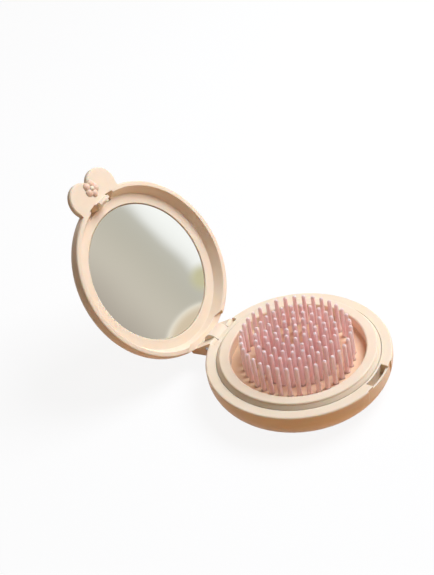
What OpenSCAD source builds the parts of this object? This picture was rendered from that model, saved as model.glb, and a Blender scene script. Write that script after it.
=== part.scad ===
// Pocket hairbrush with a mirror in its hinged lid.
// A round two-shell case stands open. The lid leans back on its stop and shows the mirror; the base holds
// a field of pins, raised through a drilled disc by a push button in the underside.
// Origin: on the table, in the middle of the open object's footprint. +Z up, the hinge at +Y, the latch and its lobe at -Y.

/* [Case] */
// Outside radius of base and lid
case_r = 37.5; // [36.5:0.5:41]
// Height of the base up to the face that the lid closes on
base_h = 14; // [13.5:0.25:15]
// Wall thickness of both shells
wall = 1.4; // [1.2:0.1:1.6]
// Radius of the rounded underside edge of the base
base_round = 11.2; // [10:0.1:11.3]
// Radius of the small roundings along the open edges
edge_round = 0.7; // [0.4:0.1:0.9]

/* [Collar] */
// Width of the flat rim left showing outside the collar
rim_show = 4.3; // [4.1:0.1:4.8]
// Height of the collar above that rim
collar_rise = 2.2; // [1.6:0.1:2.6]
// How far the collar's outside leans in over its rise
collar_lean = 1.2; // [0.6:0.1:1.6]
// Width of the collar at its foot
collar_w = 5.7; // [5:0.1:6]
// Thickness of the collar's walls
collar_wall = 1.2; // [1:0.1:1.4]
// Depth of the dish below the collar's top
dish_depth = 5.1; // [4.6:0.1:5.6]

/* [Pins] */
// Radius of the outermost ring of pins
brush_r = 21.8; // [21.4:0.1:21.9]
// Distance between the inner rings
ring_pitch = 4; // [3.9:0.05:4.2]
// Number of inner rings, without the middle pin
inner_rings = 4; // [2:1:4]
// Distance between neighbours along a ring
pin_spacing = 3.8; // [3.7:0.05:4.4]
// Pin diameter at the disc
pin_d = 1.9; // [1.7:0.1:2]
// Pin diameter below its round tip
pin_tip_d = 1.6; // [1.3:0.05:1.7]
// Pin length showing above the disc when raised
pin_len = 14.4; // [13.5:0.1:14.6]

/* [Lifting plate and button] */
// Travel of the pins and the button
travel = 7.3; // [7.1:0.05:7.4]
// Thickness of the drilled disc
disc_t = 1; // [0.8:0.1:1]
// Thickness of the plate that carries the pins
plate_t = 1; // [0.8:0.1:1]
// How far the plate's edge overlaps the lip of the underside opening
plate_lap = 2.1; // [1.6:0.1:2.4]
// Radius of the opening in the underside
opening_r = 22.5; // [22.3:0.1:22.6]
// Thickness of the push button
button_t = 1.2; // [1:0.05:1.2]
// Depth of the finger hollow in the button
finger_dip = 0.5; // [0.3:0.1:0.6]

/* [Hinge] */
// Diameter of the knuckles
knuckle_d = 7.8; // [7:0.2:7.8]
// How far the hinge axis lies below the base's rim
hinge_drop = 4; // [4:0.1:4.4]
// Depth of the notch that takes the hinge into the base's round outline
notch_depth = 3.2; // [3:0.05:3.25]
// Width of the middle knuckle, on the base
middle_w = 8; // [6:0.5:9]
// Width of each outer knuckle, on the lid
ear_w = 4.2; // [3.6:0.2:6]
// Diameter of the hinge pin
hinge_pin_d = 2; // [1.6:0.1:2.4]
// How far the lid stands open, from closed
open_angle = 125; // [120:1:128]

/* [Lid] */
// Depth of the lid from its rim to its flat back
lid_h = 7.8; // [7.7:0.1:8.6]
// Radius of the rounded edge round the lid's back
lid_round = 5; // [4:0.5:5.5]
// Width of the lid's rim face
lid_rim_w = 2.1; // [1.8:0.1:2.3]
// Depth of the band round the mirror below the rim
band_depth = 4.3; // [4.25:0.05:4.4]
// How far the lid's inside wall leans in over that depth
wall_lean = 2; // [1.6:0.1:2.4]
// Mirror diameter
mirror_d = 58.2; // [56:0.2:59]
// Mirror thickness
mirror_t = 1.5; // [1.2:0.1:1.5]
// How far the mirror's face lies below the band
mirror_sink = 0.4; // [0.3:0.05:0.5]
// Thickness of the tape behind the mirror
tape_t = 0.4; // [0.3:0.05:0.4]

/* [Latch and lobe] */
// Width of the latch pocket in the base rim
pocket_w = 12.5; // [10:0.5:13]
// Radial width of the pocket
pocket_gap = 2.2; // [2:0.1:2.3]
// Depth of the pocket
pocket_depth = 5.5; // [5:0.1:5.8]
// Width of the latch tongue on the lid
tongue_w = 6; // [5:0.5:6.5]
// How far the tongue stands out of the lid's rim
tongue_len = 2.2; // [2:0.1:3]
// Thickness of the tongue
tongue_t = 1.2; // [1:0.1:1.2]
// Width of the block inside the lid that the tongue stands on
block_w = 7; // [6.6:0.2:9]
// Width of the window in the lid's inside wall that leaves the block free on both sides
window_w = 15.5; // [14:0.5:17]
// Width of the finger recess in the base's front
recess_w = 19; // [18:0.5:22]
// Depth of the finger recess
recess_depth = 0.5; // [0.3:0.05:0.6]
// Radius of each of the lobe's two rounds
lobe_r = 7.5; // [7:0.1:8]
// Distance between the centres of the two rounds
lobe_pitch = 11.6; // [10.6:0.2:12.6]
// How far the centres of the rounds lie outside the case
lobe_out = 2.3; // [1.6:0.1:2.6]
// Thickness of the lobe
lobe_t = 2.4; // [2:0.1:2.8]

/* [Blossom] */
// Number of petals
petals = 5; // [4:1:7]
// Radius of the ring that the petals' middles lie on
petal_ring = 2.1; // [1.9:0.05:2.2]
// Radius of each petal where it meets the lobe
petal_r = 1.8; // [1.6:0.05:1.85]
// Height of the petals
petal_h = 1; // [0.8:0.1:1.1]

/* [Clearances] */
// Gap between the closed lid's rim and the base
lid_gap = 0.15; // [0.1:0.05:0.2]
// Radial gap round each pin in the drilled disc
pin_gap = 0.15; // [0.1:0.05:0.2]
// Gap round the lifting plate and the button
slide_gap = 0.2; // [0.15:0.05:0.3]
// Radial running gap of the hinge pin in the middle knuckle
run_gap = 0.05; // [0.03:0.01:0.08]
// Side gap between neighbouring knuckles, and of the collar in the base
side_gap = 0.3; // [0.2:0.05:0.4]
// Gap round the mirror in its seat
seat_gap = 0.15; // [0.1:0.05:0.25]
// Gap at the stop when the lid is open
stop_gap = 0.1; // [0.05:0.05:0.15]

/* [Hidden] */
$fn = 96;
eps = 0.01;
far = 200;

cream = [0.96, 0.87, 0.76];
cream_dark = [0.9, 0.78, 0.66];
pink = [0.93, 0.7, 0.7];
silver = [0.8, 0.83, 0.82];

// Base: radii and heights, from the outside in and from the top down
rim_in_r = case_r - rim_show;
collar_foot_r = rim_in_r - slide_gap;
collar_top_r = collar_foot_r - collar_lean;
dish_r = collar_foot_r - collar_w;
collar_top_z = base_h + collar_rise;
disc_top_z = collar_top_z - dish_depth;
disc_z = disc_top_z - disc_t;
disc_r = dish_r + collar_wall - side_gap;
plate_r = opening_r + plate_lap;
plate_top_z = disc_z - slide_gap / 2;
plate_z = plate_top_z - plate_t;
button_z = plate_z - button_t;
button_r = opening_r - side_gap;
guide_r = plate_r + slide_gap;
shelf_t = 1.2;
shelf_z = disc_top_z - shelf_t;
shelf_in_r = collar_foot_r - collar_wall - 0.8;
block_z = base_h - pocket_depth - wall;

// Snap legs that hold the collar down on the shelf
leg_angles = [45, 135, 225, 315];
leg_w = 5;
leg_hook = 0.6;
leg_t = collar_wall;
leg_len = shelf_t + side_gap + 1;

// Hinge: the knuckles lie half inside a notch in the base's outline, their tops a little below its rim
rim_z = base_h + lid_gap;
knuckle_r = knuckle_d / 2;
notch_y = case_r - notch_depth;
hinge_y = notch_y + side_gap + knuckle_r;
hinge_z = base_h - hinge_drop;
hinge_w = middle_w + 2 * (ear_w + side_gap);
notch_w = hinge_w + 2 * side_gap;
ear_x = middle_w / 2 + side_gap;
heel_reach = knuckle_r + side_gap - stop_gap;
heel_h = 1.5;

// Lid: heights count from the rim face up to the back, as the closed lid lies
axis_w = hinge_z - rim_z;
lid_in_r = case_r - lid_rim_w;
band_r = lid_in_r - wall_lean;
mirror_r = mirror_d / 2;
mirror_w = band_depth + mirror_sink;
tape_w = mirror_w + mirror_t;
seat_w = tape_w + tape_t;
tape_r = mirror_r - 2.5;
relief_w = 27;
relief_depth = 1.6;

// Latch: tongue and pocket share their middle radius
pocket_out_r = case_r - recess_depth - 0.8;
pocket_in_r = pocket_out_r - pocket_gap;
pocket_drop = 1;
tongue_out_r = pocket_out_r - (pocket_gap - tongue_t) / 2;
tongue_in_r = tongue_out_r - tongue_t;
bead_r = 0.3;
bead_w = 1 - tongue_len;
recess_z = base_h - 8;
window_depth = band_depth + 0.6;
lobe_y = case_r + lobe_out;
charm_y = case_r + petal_ring + petal_r + 0.2;
lobe_chamfer = 0.5;
petal_ball = (pow(petal_r, 2) + pow(petal_h, 2)) / (2 * petal_h);
centre_ball = petal_ring * 0.62;

// The row's origin is the middle of the footprint of the open object
back_y = hinge_y - (lobe_y + lobe_r - lobe_chamfer + hinge_y) * cos(open_angle)
         + (rim_z + lobe_t - hinge_z) * sin(open_angle);
mid_y = (back_y - (case_r - recess_depth)) / 2;

// Rings of pins as [radius, count]
function pins_on(r) = r == 0 ? 1 : floor(2 * PI * r / pin_spacing);
rings = concat([for (i = [0 : inner_rings]) [i * ring_pitch, pins_on(i * ring_pitch)]],
               [[brush_r, pins_on(brush_r)]]);

// Puts a piece drawn in the closed lid's own frame on the open lid
module on_open_lid() {
    translate([0, hinge_y, hinge_z])
        rotate([-open_angle, 0, 0])
            translate([0, -hinge_y, rim_z - hinge_z])
                children();
}

// Quarter disc that rounds a lower outer corner
module quarter(r) {
    intersection() {
        circle(r);
        translate([0, -r])
            square(r);
    }
}

// Half section of a round shell: height h, a large rounding at the bottom and a small one at the top
module shell_section(r, h, big, small) {
    square([r - big, h]);
    translate([0, big])
        square([r - small, h - big]);
    translate([0, big])
        square([r, h - big - small]);
    translate([r - big, big])
        quarter(big);
    translate([r - small, h - small])
        circle(small);
}

// Ring with a rectangular section, from z up by h
module ring(r_in, r_out, z, h) {
    translate([0, 0, z])
        difference() {
            cylinder(r = r_out, h = h);
            translate([0, 0, -eps])
                cylinder(r = r_in, h = h + 2 * eps);
        }
}

// The part of a ring within the width w at the front
module front_arc(r_in, r_out, z, h, w) {
    intersection() {
        ring(r_in, r_out, z, h);
        translate([-w / 2, -far, z - 1])
            cube([w, far, h + 2]);
    }
}

// Bar along X with the side view given as [y, z] points
module side_bar(x, w, points) {
    translate([x, 0, 0])
        rotate([90, 0, 90])
            linear_extrude(w)
                polygon(points);
}

module hinge_bore(r, z) {
    translate([-far / 2, hinge_y, z])
        rotate([0, 90, 0])
            cylinder(r = r, h = far);
}

// Base: rim, side wall, rounded underside with the button's opening, plate guide, collar shelf,
// latch pocket and middle knuckle, in one moulding
module base_shell() {
    color(cream)
    difference() {
        union() {
            difference() {
                rotate_extrude()
                    shell_section(case_r, base_h, base_round, edge_round);
                rotate_extrude() {
                    translate([0, wall])
                        square([case_r - base_round, base_h]);
                    translate([0, base_round])
                        square([case_r - wall, base_h - wall - base_round]);
                    translate([case_r - base_round, base_round])
                        quarter(base_round - wall);
                }
                translate([0, 0, base_round])
                    cylinder(r = rim_in_r, h = base_h);
                translate([0, 0, -1])
                    cylinder(r = opening_r, h = base_h);
            }
            ring(guide_r, guide_r + wall, wall / 2, disc_z - wall / 2);
            ring(shelf_in_r, case_r - wall / 2, shelf_z, shelf_t);
            intersection() {
                union() {
                    front_arc(rim_in_r, case_r, block_z, far, pocket_w + 2 * wall);
                    translate([-notch_w / 2 - wall, rim_in_r, 0])
                        cube([notch_w + 2 * wall, far, base_h]);
                }
                translate([0, 0, wall / 2])
                    rotate_extrude()
                        shell_section(case_r - wall / 2, base_h - wall, base_round - wall / 2, edge_round);
            }
        }
        translate([-notch_w / 2, notch_y, -1])
            cube([notch_w, far, far]);
        front_arc(pocket_in_r, pocket_out_r, base_h - pocket_depth, far, pocket_w);
        front_arc(pocket_out_r - eps, far / 2, base_h - pocket_drop, far, pocket_w);
        front_arc(case_r - recess_depth, far / 2, recess_z, far, recess_w);
        for (a = leg_angles)
            rotate(a)
                translate([collar_foot_r - leg_t - slide_gap, -leg_w / 2 - slide_gap, shelf_z - 1])
                    cube([leg_t + leg_hook + 2 * slide_gap, leg_w + 2 * slide_gap, shelf_t + 2]);
    }
    color(cream)
    difference() {
        union() {
            translate([-middle_w / 2, notch_y - wall / 2, hinge_z - 0.75 * knuckle_r])
                cube([middle_w, hinge_y - notch_y + wall / 2, 1.5 * knuckle_r]);
            translate([-middle_w / 2, hinge_y, hinge_z])
                rotate([0, 90, 0])
                    cylinder(r = knuckle_r, h = middle_w);
        }
        hinge_bore(hinge_pin_d / 2 + run_gap, hinge_z);
    }
}

// Collar round the pins: leaning outside wall, rounded top, dish wall, and four snap legs
module collar() {
    top_round = edge_round;
    mid_w = collar_w - collar_lean - top_round;
    color(cream) {
        rotate_extrude()
            difference() {
                union() {
                    polygon([[dish_r, disc_top_z], [dish_r, collar_top_z - top_round],
                             [collar_top_r, collar_top_z - top_round], [collar_foot_r, base_h],
                             [collar_foot_r, disc_top_z]]);
                    translate([dish_r + top_round, collar_top_z - top_round])
                        circle(top_round);
                    translate([dish_r + top_round, collar_top_z - 2 * top_round])
                        square([mid_w - top_round, 2 * top_round]);
                    translate([collar_top_r - top_round, collar_top_z - top_round])
                        circle(top_round);
                }
                polygon([[dish_r + collar_wall, disc_top_z - 1], [dish_r + collar_wall, base_h],
                         [collar_foot_r - collar_wall, base_h], [collar_foot_r - collar_wall, disc_top_z - 1]]);
            }
        for (a = leg_angles)
            rotate(a)
                translate([collar_foot_r - leg_t, -leg_w / 2, disc_top_z - leg_len]) {
                    cube([leg_t, leg_w, leg_len + 1]);
                    translate([0, 0, 0])
                        cube([leg_t + leg_hook, leg_w, leg_len - shelf_t - slide_gap]);
                }
    }
}

// Drilled disc: the floor of the dish, clamped between the collar and the plate guide
module drilled_disc() {
    color(cream_dark)
    difference() {
        translate([0, 0, disc_z])
            cylinder(r = disc_r, h = disc_t);
        for (ring = rings, i = [1 : ring[1]])
            rotate(90 + i * 360 / ring[1])
                translate([ring[0], 0, disc_z - 1])
                    cylinder(d = pin_d + 2 * pin_gap, h = disc_t + 2, $fn = 24);
    }
}

// One pin: slightly tapered, with a round tip
module pin() {
    shaft_h = disc_top_z - plate_top_z + pin_len - pin_tip_d / 2;
    translate([0, 0, plate_top_z - eps]) {
        cylinder(d1 = pin_d, d2 = pin_tip_d, h = shaft_h + eps, $fn = 24);
        translate([0, 0, shaft_h + eps])
            sphere(d = pin_tip_d, $fn = 24);
    }
}

// Plate with all its pins, one moulding
module pin_plate() {
    color(pink) {
        translate([0, 0, plate_z])
            cylinder(r = plate_r, h = plate_t);
        for (ring = rings, i = [1 : ring[1]])
            rotate(90 + i * 360 / ring[1])
                translate([ring[0], 0, 0])
                    pin();
    }
}

// Button fixed under the plate: it fills the opening when the pins are down
module push_button() {
    dip_r = button_r - 3;
    color(cream)
    translate([0, 0, button_z])
        difference() {
            cylinder(r = button_r, h = button_t);
            translate([0, 0, -eps])
                cylinder(r1 = dip_r, r2 = dip_r - 2, h = finger_dip + eps);
        }
}

// Lobe of the lid: two rounds side by side with chamfered edges, filled in to the rim
module lobe() {
    for (side = [-1, 1])
        translate([side * lobe_pitch / 2, -lobe_y, 0]) {
            cylinder(r1 = lobe_r - lobe_chamfer, r2 = lobe_r, h = lobe_chamfer);
            translate([0, 0, lobe_chamfer])
                cylinder(r = lobe_r, h = lobe_t - 2 * lobe_chamfer);
            translate([0, 0, lobe_t - lobe_chamfer])
                cylinder(r1 = lobe_r, r2 = lobe_r - lobe_chamfer, h = lobe_chamfer);
        }
    translate([-lobe_pitch / 2 - lobe_r + 1.2, -lobe_y, 0])
        cube([lobe_pitch + 2 * lobe_r - 2.4, lobe_y - lid_in_r + 2, lobe_t]);
}

// Outer knuckle with the arm that joins it to the lid and the heel that stops the lid on the base's boss
module ear(side) {
    x = side > 0 ? ear_x : -ear_x - ear_w;
    arm_y = case_r - 1.8;
    arm_in_y = notch_y + side_gap + 0.2;
    translate([x, hinge_y, axis_w])
        rotate([0, 90, 0])
            cylinder(r = knuckle_r, h = ear_w);
    side_bar(x, ear_w,
             [[hinge_y, axis_w], [arm_in_y, axis_w], [arm_in_y, 0.4], [arm_y, 0.4], [arm_y, 5],
              [case_r + 0.5, 5], [hinge_y + 0.75 * knuckle_r, axis_w + 0.55 * knuckle_r]]);
    translate([x, hinge_y, axis_w])
        rotate([open_angle, 0, 0])
            translate([0, -heel_reach, -heel_h])
                cube([ear_w, heel_reach, heel_h]);
}

// Latch tongue on its block: the block stands in the window of the lid's inside wall, and a snap bead runs along the tongue
module tongue() {
    block_in = collar_foot_r + side_gap;
    translate([-block_w / 2, -pocket_out_r - 0.3, 0])
        cube([block_w, pocket_out_r + 0.3 - block_in, window_depth + 0.3]);
    front_arc(tongue_in_r, tongue_out_r, -tongue_len, tongue_len + 1, tongue_w);
    intersection() {
        rotate_extrude()
            translate([tongue_out_r - 0.05, bead_w])
                circle(bead_r);
        translate([-tongue_w / 2, -far, -tongue_len])
            cube([tongue_w, far, tongue_len]);
    }
}

// Lid shell, drawn rim down as if closed: domed edge, mirror seat, lobe, tongue and hinge ears
module lid_shell() {
    color(cream)
    on_open_lid() {
        difference() {
            union() {
                translate([0, 0, lid_h])
                    mirror([0, 0, 1])
                        rotate_extrude()
                            shell_section(case_r, lid_h, lid_round, edge_round);
                lobe();
                ear(1);
                ear(-1);
            }
            rotate_extrude()
                polygon([[0, -1], [lid_in_r, -1], [lid_in_r, 0], [band_r, band_depth], [0, band_depth]]);
            cylinder(r = mirror_r + seat_gap, h = seat_w);
            translate([-relief_w / 2, band_r, -far + relief_depth])
                cube([relief_w, case_r - band_r - lid_rim_w / 2, far]);
            front_arc(band_r - 0.5, pocket_out_r, -1, window_depth + 1, window_w);
            hinge_bore(hinge_pin_d / 2, axis_w);
        }
        tongue();
    }
}

// Silvered glass
module mirror_glass() {
    chamfer = 0.3;
    color(silver)
    on_open_lid()
        translate([0, 0, mirror_w]) {
            cylinder(r1 = mirror_r - chamfer, r2 = mirror_r, h = chamfer);
            translate([0, 0, chamfer])
                cylinder(r = mirror_r, h = mirror_t - chamfer);
        }
}

// Foam tape that holds the glass in its seat
module mirror_tape() {
    color("white")
    on_open_lid()
        translate([0, 0, tape_w])
            cylinder(r = tape_r, h = tape_t);
}

// Steel pin through the three knuckles
module hinge_pin() {
    color("silver")
    translate([-hinge_w / 2 + side_gap, hinge_y, hinge_z])
        rotate([0, 90, 0])
            cylinder(d = hinge_pin_d, h = hinge_w - 2 * side_gap, $fn = 32);
}

// Keeps what stands out of the lobe's inner face
module below_rim() {
    intersection() {
        children();
        translate([-far / 2, -far, -10])
            cube([far, far, 10]);
    }
}

// Five-petal blossom in relief on the lobe, where the lid is lifted
module blossom() {
    color(pink)
    on_open_lid()
        difference() {
            below_rim()
                for (i = [1 : petals])
                    translate([0, -charm_y, 0])
                        rotate(90 + i * 360 / petals)
                            translate([petal_ring, 0, petal_ball - petal_h])
                                sphere(petal_ball, $fn = 48);
            translate([0, -charm_y, 0])
                sphere(centre_ball, $fn = 48);
        }
}

module blossom_centre() {
    color(cream)
    on_open_lid()
        below_rim()
            translate([0, -charm_y, 0])
                sphere(centre_ball, $fn = 48);
}

translate([0, -mid_y, 0]) {
    base_shell();
    collar();
    drilled_disc();
    pin_plate();
    push_button();
    lid_shell();
    mirror_glass();  // mirror
    mirror_tape();
    hinge_pin();
    blossom();
    blossom_centre();
}
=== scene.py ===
import math

import bpy
from mathutils import Matrix, Vector


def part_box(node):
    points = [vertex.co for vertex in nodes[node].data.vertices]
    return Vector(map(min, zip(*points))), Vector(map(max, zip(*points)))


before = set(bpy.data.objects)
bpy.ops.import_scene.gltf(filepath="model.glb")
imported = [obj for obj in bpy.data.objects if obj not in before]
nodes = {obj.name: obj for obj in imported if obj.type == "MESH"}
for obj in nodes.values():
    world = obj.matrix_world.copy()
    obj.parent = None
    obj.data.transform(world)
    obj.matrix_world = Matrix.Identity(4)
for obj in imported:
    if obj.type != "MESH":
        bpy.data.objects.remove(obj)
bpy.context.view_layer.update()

# --- Base shell -----------------------------------------------------------------------------------
# The lower half of the case, one ABS moulding with its rim, latch pocket and hinge knuckle. ABS takes
# a satin sheen from the mould, and its soaked-in cream colour goes warmer where light passes through
# a wall.


def linear(hex_colour):
    """sRGB hex to the linear values that Blender's sockets take."""
    parts = [int(hex_colour[i : i + 2], 16) / 255 for i in (1, 3, 5)]
    return [c / 12.92 if c <= 0.04045 else ((c + 0.055) / 1.055) ** 2.4 for c in parts] + [1.0]


def add(tree, kind, settings=None, links=None):
    """Adds one node: settings are properties or input values, links are outputs led to its inputs."""
    node = tree.nodes.new(kind)
    for name, value in (settings or {}).items():
        if isinstance(name, str) and name in node.bl_rna.properties:
            setattr(node, name, value)
        else:
            node.inputs[name].default_value = value
    for name, output in (links or {}).items():
        tree.links.new(output, node.inputs[name])
    return node


def new_material(name):
    """An empty node material, with the tree to build it in and its output."""
    material = bpy.data.materials.new(name)
    material.use_nodes = True
    material.node_tree.nodes.clear()
    return material, material.node_tree, add(material.node_tree, "ShaderNodeOutputMaterial")


def moulded_plastic(name, tone, shade, worn, roughness=0.42, grain=0.25):
    """A faint drift of colour, a spark-eroded grain, and edges rubbed pale and smooth."""
    material, tree, out = new_material(name)
    place = add(tree, "ShaderNodeTexCoord")
    # The resin's colour drifts over about 14 mm, where it flowed and cooled unevenly.
    drift = add(tree, "ShaderNodeTexNoise", {"Scale": 70.0, "Detail": 2.0},
                {"Vector": place.outputs["Object"]})
    tint = add(tree, "ShaderNodeMix", {"data_type": "RGBA", 6: linear(tone), 7: linear(shade)},
               {0: drift.outputs["Fac"]})
    # Eroded steel leaves pits of about 0.1 mm; they are drawn at 0.4 mm, the finest that shows.
    pits = add(tree, "ShaderNodeTexNoise", {"Scale": 2400.0, "Detail": 3.0},
               {"Vector": place.outputs["Object"]})
    # Edges look rounded by 0.45 mm, and are rubbed where that turns the surface by 6 to 31 degrees.
    soft_edge = add(tree, "ShaderNodeBevel", {"samples": 6, "Radius": 0.00045})
    surface = add(tree, "ShaderNodeNewGeometry")
    turned = add(tree, "ShaderNodeVectorMath", {"operation": "DOT_PRODUCT"},
                 {0: soft_edge.outputs["Normal"], 1: surface.outputs["Normal"]})
    rub = add(tree, "ShaderNodeMapRange", {"From Min": 0.995, "From Max": 0.86},
              {"Value": turned.outputs["Value"]})
    rubbed = add(tree, "ShaderNodeMix", {"data_type": "RGBA", 7: linear(worn)},
                 {0: rub.outputs["Result"], 6: tint.outputs[2]})
    gloss = add(tree, "ShaderNodeMapRange",
                {"To Min": roughness - 0.06, "To Max": roughness + 0.06},
                {"Value": pits.outputs["Fac"]})
    bump = add(tree, "ShaderNodeBump", {"Strength": grain, "Distance": 0.00006},
               {"Height": pits.outputs["Fac"], "Normal": soft_edge.outputs["Normal"]})
    # Light goes about 1.6 mm into the plastic, its red part furthest.
    shader = add(tree, "ShaderNodeBsdfPrincipled",
                 {"IOR": 1.54, "Specular IOR Level": 0.2, "Subsurface Weight": 0.3,
                  "Subsurface Scale": 0.0016, "Subsurface Radius": (1.0, 0.55, 0.3)},
                 {"Base Color": rubbed.outputs[2], "Roughness": gloss.outputs["Result"],
                  "Normal": bump.outputs["Normal"]})
    tree.links.new(shader.outputs["BSDF"], out.inputs["Surface"])
    return material


def dress(node, material):
    """Puts a finish on a CAD node."""
    mesh = nodes[node].data
    mesh.materials.clear()
    mesh.materials.append(material)


cream_abs = moulded_plastic("cream ABS, moulded", "#F6E5CE", "#F2DCC0", "#F8EBD8")
dress("base_shell", cream_abs)

# --- Collar ---------------------------------------------------------------------------------------
# The ring that snaps into the base round the pins and hides the edge of the drilled disc. It is the
# same cream ABS from the same mould finish, so only its shape sets it apart.
dress("collar", cream_abs)

# --- Drilled disc ---------------------------------------------------------------------------------
# The floor of the dish, a thin disc with one hole for each pin. It is a plain natural polypropylene,
# duller than the case, and its colour holds painted shade: a little darker than the case, as it lies
# out of the light.
beige_pp = moulded_plastic("beige polypropylene, moulded", "#F3D4B4", "#EEC9A4", "#F3DAC0",
                           roughness=0.55)
dress("drilled_disc", beige_pp)

# --- Pins -----------------------------------------------------------------------------------------
# The pins and their plate are one moulding in a pink, slightly see-through polypropylene, polished by
# the mould. Light goes right into each thin pin, so its shaded side glows instead of going dark.


def clear_pink_pp():
    material, tree, out = new_material("pink polypropylene, moulded")
    place = add(tree, "ShaderNodeTexCoord")
    # The dye drifts a little from pin to pin, over about 8 mm.
    drift = add(tree, "ShaderNodeTexNoise", {"Scale": 120.0, "Detail": 1.0},
                {"Vector": place.outputs["Object"]})
    tint = add(tree, "ShaderNodeMix",
               {"data_type": "RGBA", 6: linear("#FFD3D1"), 7: linear("#FFC7C6")},
               {0: drift.outputs["Fac"]})
    # Flow lines of about 0.3 mm run up each pin from the plate.
    lines = add(tree, "ShaderNodeMapping", {"Scale": (3000.0, 3000.0, 250.0)},
                {"Vector": place.outputs["Object"]})
    streaks = add(tree, "ShaderNodeTexNoise", {"Scale": 1.0, "Detail": 2.0},
                  {"Vector": lines.outputs["Vector"]})
    gloss = add(tree, "ShaderNodeMapRange", {"To Min": 0.46, "To Max": 0.58},
                {"Value": streaks.outputs["Fac"]})
    bump = add(tree, "ShaderNodeBump", {"Strength": 0.1, "Distance": 0.00005},
               {"Height": streaks.outputs["Fac"]})
    # Light goes 6 mm deep, further than a pin is thick.
    shader = add(tree, "ShaderNodeBsdfPrincipled",
                 {"IOR": 1.49, "Specular IOR Level": 0.22, "Subsurface Weight": 1.0,
                  "Subsurface Scale": 0.006, "Subsurface Radius": (1.0, 0.75, 0.7)},
                 {"Base Color": tint.outputs[2], "Roughness": gloss.outputs["Result"],
                  "Normal": bump.outputs["Normal"]})
    tree.links.new(shader.outputs["BSDF"], out.inputs["Surface"])
    return material


dress("pin_plate", clear_pink_pp())

# --- Push button ----------------------------------------------------------------------------------
# The disc in the underside that pushes the pins up, in the case's cream ABS, with a shallow hollow
# for a thumb.
dress("push_button", cream_abs)

# --- Lid shell ------------------------------------------------------------------------------------
# The upper half of the case with the mirror's seat, the latch tongue, the lobe and the two outer
# knuckles, one moulding in cream ABS.
dress("lid_shell", cream_abs)

# --- Mirror ---------------------------------------------------------------------------------------
# Float glass, silvered on the back and cut round. Its iron gives what it reflects a faint green cast.
# White foam tape, matt and unseen behind the glass, holds it in its seat.


def silvered_glass():
    material, tree, out = new_material("float glass, silvered")
    shader = add(tree, "ShaderNodeBsdfPrincipled",
                 {"Base Color": linear("#F5F7F3"), "Metallic": 1.0, "Roughness": 0.02})
    tree.links.new(shader.outputs["BSDF"], out.inputs["Surface"])
    return material


dress("mirror", silvered_glass())
dress("mirror_tape", moulded_plastic("white foam tape", "#EDEDE8", "#E4E4DE", "#F2F2EE",
                                     roughness=0.8))

# --- Hinge pin ------------------------------------------------------------------------------------
# Drawn steel wire, cut to length and pressed into the lid's knuckles. The die leaves fine lines along
# it, which break up its shine.


def drawn_steel():
    material, tree, out = new_material("steel wire, drawn")
    place = add(tree, "ShaderNodeTexCoord")
    # Real lines are far finer than these of 0.3 mm, the finest that would show.
    lines = add(tree, "ShaderNodeMapping", {"Scale": (60.0, 3000.0, 3000.0)},
                {"Vector": place.outputs["Object"]})
    streaks = add(tree, "ShaderNodeTexNoise", {"Scale": 1.0, "Detail": 3.0},
                  {"Vector": lines.outputs["Vector"]})
    rough = add(tree, "ShaderNodeMapRange", {"To Min": 0.25, "To Max": 0.4},
                {"Value": streaks.outputs["Fac"]})
    shader = add(tree, "ShaderNodeBsdfPrincipled",
                 {"Base Color": linear("#BFBFC1"), "Metallic": 1.0},
                 {"Roughness": rough.outputs["Result"]})
    tree.links.new(shader.outputs["BSDF"], out.inputs["Surface"])
    return material


dress("hinge_pin", drawn_steel())

# --- Blossom --------------------------------------------------------------------------------------
# The small flower in relief on the lobe: petals in a blush ABS, smoother and a shade pinker than the
# case, round a cream centre, both glued into their place.
blush_abs = moulded_plastic("blush ABS, moulded", "#F5D3BC", "#F1C7AD", "#F9E2D0",
                            roughness=0.36, grain=0.1)
dress("blossom", blush_abs)
dress("blossom_centre", cream_abs)

# --- Studio ---------------------------------------------------------------------------------------
# The brush stands on a round wooden board on buff paper, which throw warm light up at its sides; the
# camera and the mirror see plain white there. One big soft box hangs above it, to the right and in
# front.


def flat_square(name, half):
    """A flat square mesh, facing up."""
    mesh = bpy.data.meshes.new(name)
    mesh.from_pydata([(-half, -half, 0), (half, -half, 0), (half, half, 0), (-half, half, 0)], [],
                     [(0, 1, 2, 3)])
    return mesh


def in_view(tree):
    """1 for what the camera sees, also by way of metal or glass, and 0 after a matt surface."""
    path = add(tree, "ShaderNodeLightPath")
    reflected = add(tree, "ShaderNodeMath", {"operation": "MAXIMUM"},
                    {0: path.outputs["Is Glossy Ray"], 1: path.outputs["Is Transmission Ray"]})
    any_view = add(tree, "ShaderNodeMath", {"operation": "MAXIMUM"},
                   {0: path.outputs["Is Camera Ray"], 1: reflected.outputs["Value"]})
    straight = add(tree, "ShaderNodeMath", {"operation": "SUBTRACT", "use_clamp": True},
                   {0: any_view.outputs["Value"], 1: path.outputs["Diffuse Depth"]})
    return straight.outputs["Value"]


floor_mesh = flat_square("floor", 3.0)
floor = bpy.data.objects.new("floor", floor_mesh)
bpy.context.scene.collection.objects.link(floor)
floor_paint, tree, out = new_material("table top")
# In view the floor is nearly all plain white, with a tenth left to take the object's shadow.
paper = add(tree, "ShaderNodeBsdfDiffuse", {"Color": linear("#FFFFFF")})
glow = add(tree, "ShaderNodeEmission", {"Color": (1, 1, 1, 1), "Strength": 1.0})
pale = add(tree, "ShaderNodeMixShader", {"Fac": 0.9},
           {1: paper.outputs["BSDF"], 2: glow.outputs["Emission"]})
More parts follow.
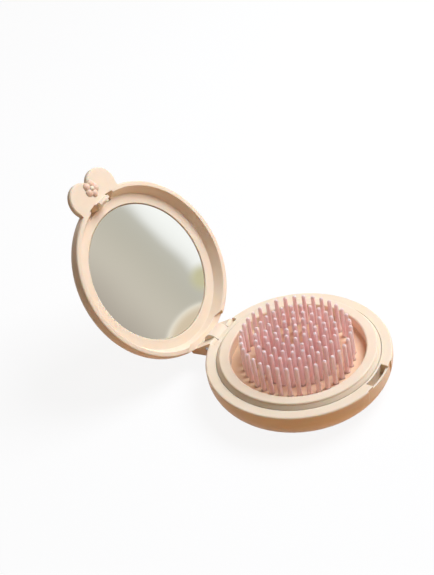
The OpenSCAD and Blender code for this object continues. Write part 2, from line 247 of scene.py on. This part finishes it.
# The board is 0.2 m across under the base; past its soft edge the table is covered in buff paper.
spot = add(tree, "ShaderNodeTexCoord")
reach = add(tree, "ShaderNodeVectorMath", {"operation": "DISTANCE", 1: (0.0, -0.02, 0.0)},
            {0: spot.outputs["Object"]})
past = add(tree, "ShaderNodeMapRange", {"From Min": 0.08, "From Max": 0.12},
           {"Value": reach.outputs["Value"]})
top_tone = add(tree, "ShaderNodeMix",
               {"data_type": "RGBA", 6: linear("#EBAD6C"), 7: linear("#E2CDB4")},
               {0: past.outputs["Result"]})
wood = add(tree, "ShaderNodeBsdfDiffuse", None, {"Color": top_tone.outputs[2]})
seen = add(tree, "ShaderNodeMixShader", None,
           {"Fac": in_view(tree), 1: wood.outputs["BSDF"], 2: pale.outputs["Shader"]})
tree.links.new(seen.outputs["Shader"], out.inputs["Surface"])
floor_mesh.materials.append(floor_paint)

box_at, box_towards = Vector((0.34, -0.19, 0.55)), Vector((0, 0, 0.02))
soft_light = bpy.data.lights.new("soft box", "AREA")
soft_light.shape, soft_light.size, soft_light.energy = "SQUARE", 0.4, 5.4
soft_light.color = linear("#F0F5FF")[:3]
soft_box = bpy.data.objects.new("soft box", soft_light)
soft_box.location = box_at
soft_box.rotation_euler = (box_towards - box_at).to_track_quat("-Z", "Y").to_euler()
bpy.context.scene.collection.objects.link(soft_box)

# Light from the side comes off warm walls, light from above off a white ceiling.
world = bpy.data.worlds.new("studio")
bpy.context.scene.world = world
world.use_nodes = True
tree = world.node_tree
tree.nodes.clear()
out = add(tree, "ShaderNodeOutputWorld")
direction = add(tree, "ShaderNodeTexCoord")
height = add(tree, "ShaderNodeSeparateXYZ", None, {"Vector": direction.outputs["Generated"]})
upward = add(tree, "ShaderNodeMapRange", {"From Min": 0.15, "From Max": 0.7},
             {"Value": height.outputs["Z"]})
around = add(tree, "ShaderNodeMix",
             {"data_type": "RGBA", 6: linear("#FFB670"), 7: linear("#FFF2E2")},
             {0: upward.outputs["Result"]})
plain = add(tree, "ShaderNodeBackground", {"Strength": 0.16}, {"Color": around.outputs[2]})
white = add(tree, "ShaderNodeBackground", {"Color": (1, 1, 1, 1), "Strength": 1.0})
seen = add(tree, "ShaderNodeMixShader", None,
           {"Fac": in_view(tree), 1: plain.outputs["Background"], 2: white.outputs["Background"]})
tree.links.new(seen.outputs["Shader"], out.inputs["Surface"])

bpy.context.scene.view_settings.view_transform = "Standard"

# One plain camera can't match the photograph in everything, so this one weighs the circles of base
# and lid against how upright the pins stand. Its place is told from the middle of the base's rim.
azimuth, elevation, roll = math.radians(-51.92), math.radians(38.25), math.radians(-10.82)
distance, aside, above = 0.5917, -0.03235, 0.02594
focal_pixels, picture_rows, sensor_height = 1485.7, 575, 24.0
collar_low, collar_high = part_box("collar")
rim_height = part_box("base_shell")[1][2]
base_middle = Vector((0, collar_low[1] / 2 + collar_high[1] / 2, rim_height))
look = Vector((-math.sin(azimuth) * math.cos(elevation), math.cos(azimuth) * math.cos(elevation),
               -math.sin(elevation)))
level = look.cross(Vector((0, 0, 1))).normalized()
upright = level.cross(look)
right = math.cos(roll) * level + math.sin(roll) * upright
up = math.cos(roll) * upright - math.sin(roll) * level
camera_data = bpy.data.cameras.new("camera")
camera_data.sensor_fit = "VERTICAL"
camera_data.sensor_height = sensor_height
camera_data.lens = focal_pixels * sensor_height / picture_rows
camera_data.clip_start = 0.01
camera = bpy.data.objects.new("camera", camera_data)
camera_at = base_middle - look * distance + right * aside + up * above
camera.matrix_world = (Matrix.Translation(camera_at)
                       @ Matrix((right, up, -look)).transposed().to_4x4())
bpy.context.scene.collection.objects.link(camera)
bpy.context.scene.camera = camera

# The mirror looks at a card painted as a soft room: a grey-beige wall, and daylight in a slanting
# band. Only reflections see the card, which stands where the camera's line of sight goes after the
# mirror. The lid stands 125 degrees from closed.
glass_low, glass_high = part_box("mirror")
glass_middle = (Vector(glass_low) + Vector(glass_high)) / 2
lid_open, card_away, card_half = math.radians(125), 0.45, 0.3
facing = Vector((0, -math.sin(lid_open), -math.cos(lid_open)))
onward = (glass_middle - camera.matrix_world.translation).normalized().reflect(facing)
card_mesh = flat_square("room card", card_half)
card = bpy.data.objects.new("room_card", card_mesh)
card.matrix_world = (Matrix.Translation(glass_middle + card_away * onward)
                     @ Matrix((right.reflect(facing), up.reflect(facing), -onward)).transposed()
                     .to_4x4())
bpy.context.scene.collection.objects.link(card)
card.visible_camera = card.visible_diffuse = False
card.visible_shadow = card.visible_transmission = False
room, tree, out = new_material("room picture")
place = add(tree, "ShaderNodeTexCoord")
# The band slants at 45 degrees, and its edges waver by a few millimetres over about 45 mm.
waver = add(tree, "ShaderNodeTexNoise", {"Scale": 22.0, "Detail": 1.0},
            {"Vector": place.outputs["Object"]})
across = add(tree, "ShaderNodeVectorMath", {"operation": "DOT_PRODUCT", 1: (0.7071, 0.7071, 0.0)},
             {0: place.outputs["Object"]})
bent = add(tree, "ShaderNodeMath", {"operation": "MULTIPLY_ADD", 1: 0.008},
           {0: waver.outputs["Fac"], 2: across.outputs["Value"]})
step = add(tree, "ShaderNodeMapRange", {"From Min": -0.044, "From Max": 0.044},
           {"Value": bent.outputs["Value"]})
band = add(tree, "ShaderNodeValToRGB", None, {"Fac": step.outputs["Result"]})
# A pale green patch lies beside the daylight, and a painted arc is a painted reflection of the
# brush's own rim.
patch = add(tree, "ShaderNodeVectorMath", {"operation": "DISTANCE", 1: (0.039, -0.005, 0.0)},
            {0: place.outputs["Object"]})
leafy = add(tree, "ShaderNodeMapRange",
            {"From Min": 0.013, "From Max": 0.004, "interpolation_type": "SMOOTHSTEP"},
            {"Value": patch.outputs["Value"]})
window = add(tree, "ShaderNodeMix", {"data_type": "RGBA", 7: linear("#CCC6A4")},
             {0: leafy.outputs["Result"], 6: band.outputs["Color"]})
inward = add(tree, "ShaderNodeVectorMath", {"operation": "DISTANCE", 1: (0.047, -0.0569, 0.0)},
             {0: place.outputs["Object"]})
turn = add(tree, "ShaderNodeMapRange", {"From Min": 0.02, "From Max": 0.04},
           {"Value": inward.outputs["Value"]})
painted_rim_reflection = add(tree, "ShaderNodeValToRGB", None, {"Fac": turn.outputs["Result"]})
# Each tone is its place, colour and cover. The wall's are a dim corner, the lit wall, its shade
# beside the window, and the daylight; those of the painted rim reflection go outward, and fade into
# the wall.
wall_tones = ((0.05, "#AAA096", 1), (0.38, "#DAD2C6", 1), (0.74, "#ADA99C", 1),
              (0.84, "#FFFFFF", 1))
rim_reflection_tones = ((0.0, "#DCCBB4", 1), (0.5, "#D6C2A8", 1), (0.68, "#EFE3D2", 1),
             (0.76, "#F6EFE4", 0.7), (0.86, "#D5CFC5", 0))
for blend, tones in ((band, wall_tones), (painted_rim_reflection, rim_reflection_tones)):
    blend.color_ramp.interpolation = "B_SPLINE"
    stops = blend.color_ramp.elements
    stops.remove(stops[0])
    stops[0].position = 0.0
    while len(stops) < len(tones):
        stops.new(1.0)
    for stop, (position, tone, cover) in zip(stops, tones):
        stop.position = position
        stop.color = linear(tone)[:3] + [cover]
wall = add(tree, "ShaderNodeMix", {"data_type": "RGBA"},
           {0: painted_rim_reflection.outputs["Alpha"], 6: window.outputs[2], 7: painted_rim_reflection.outputs["Color"]})
shine = add(tree, "ShaderNodeEmission", {"Strength": 1.0}, {"Color": wall.outputs[2]})
tree.links.new(shine.outputs["Emission"], out.inputs["Surface"])
card_mesh.materials.append(room)
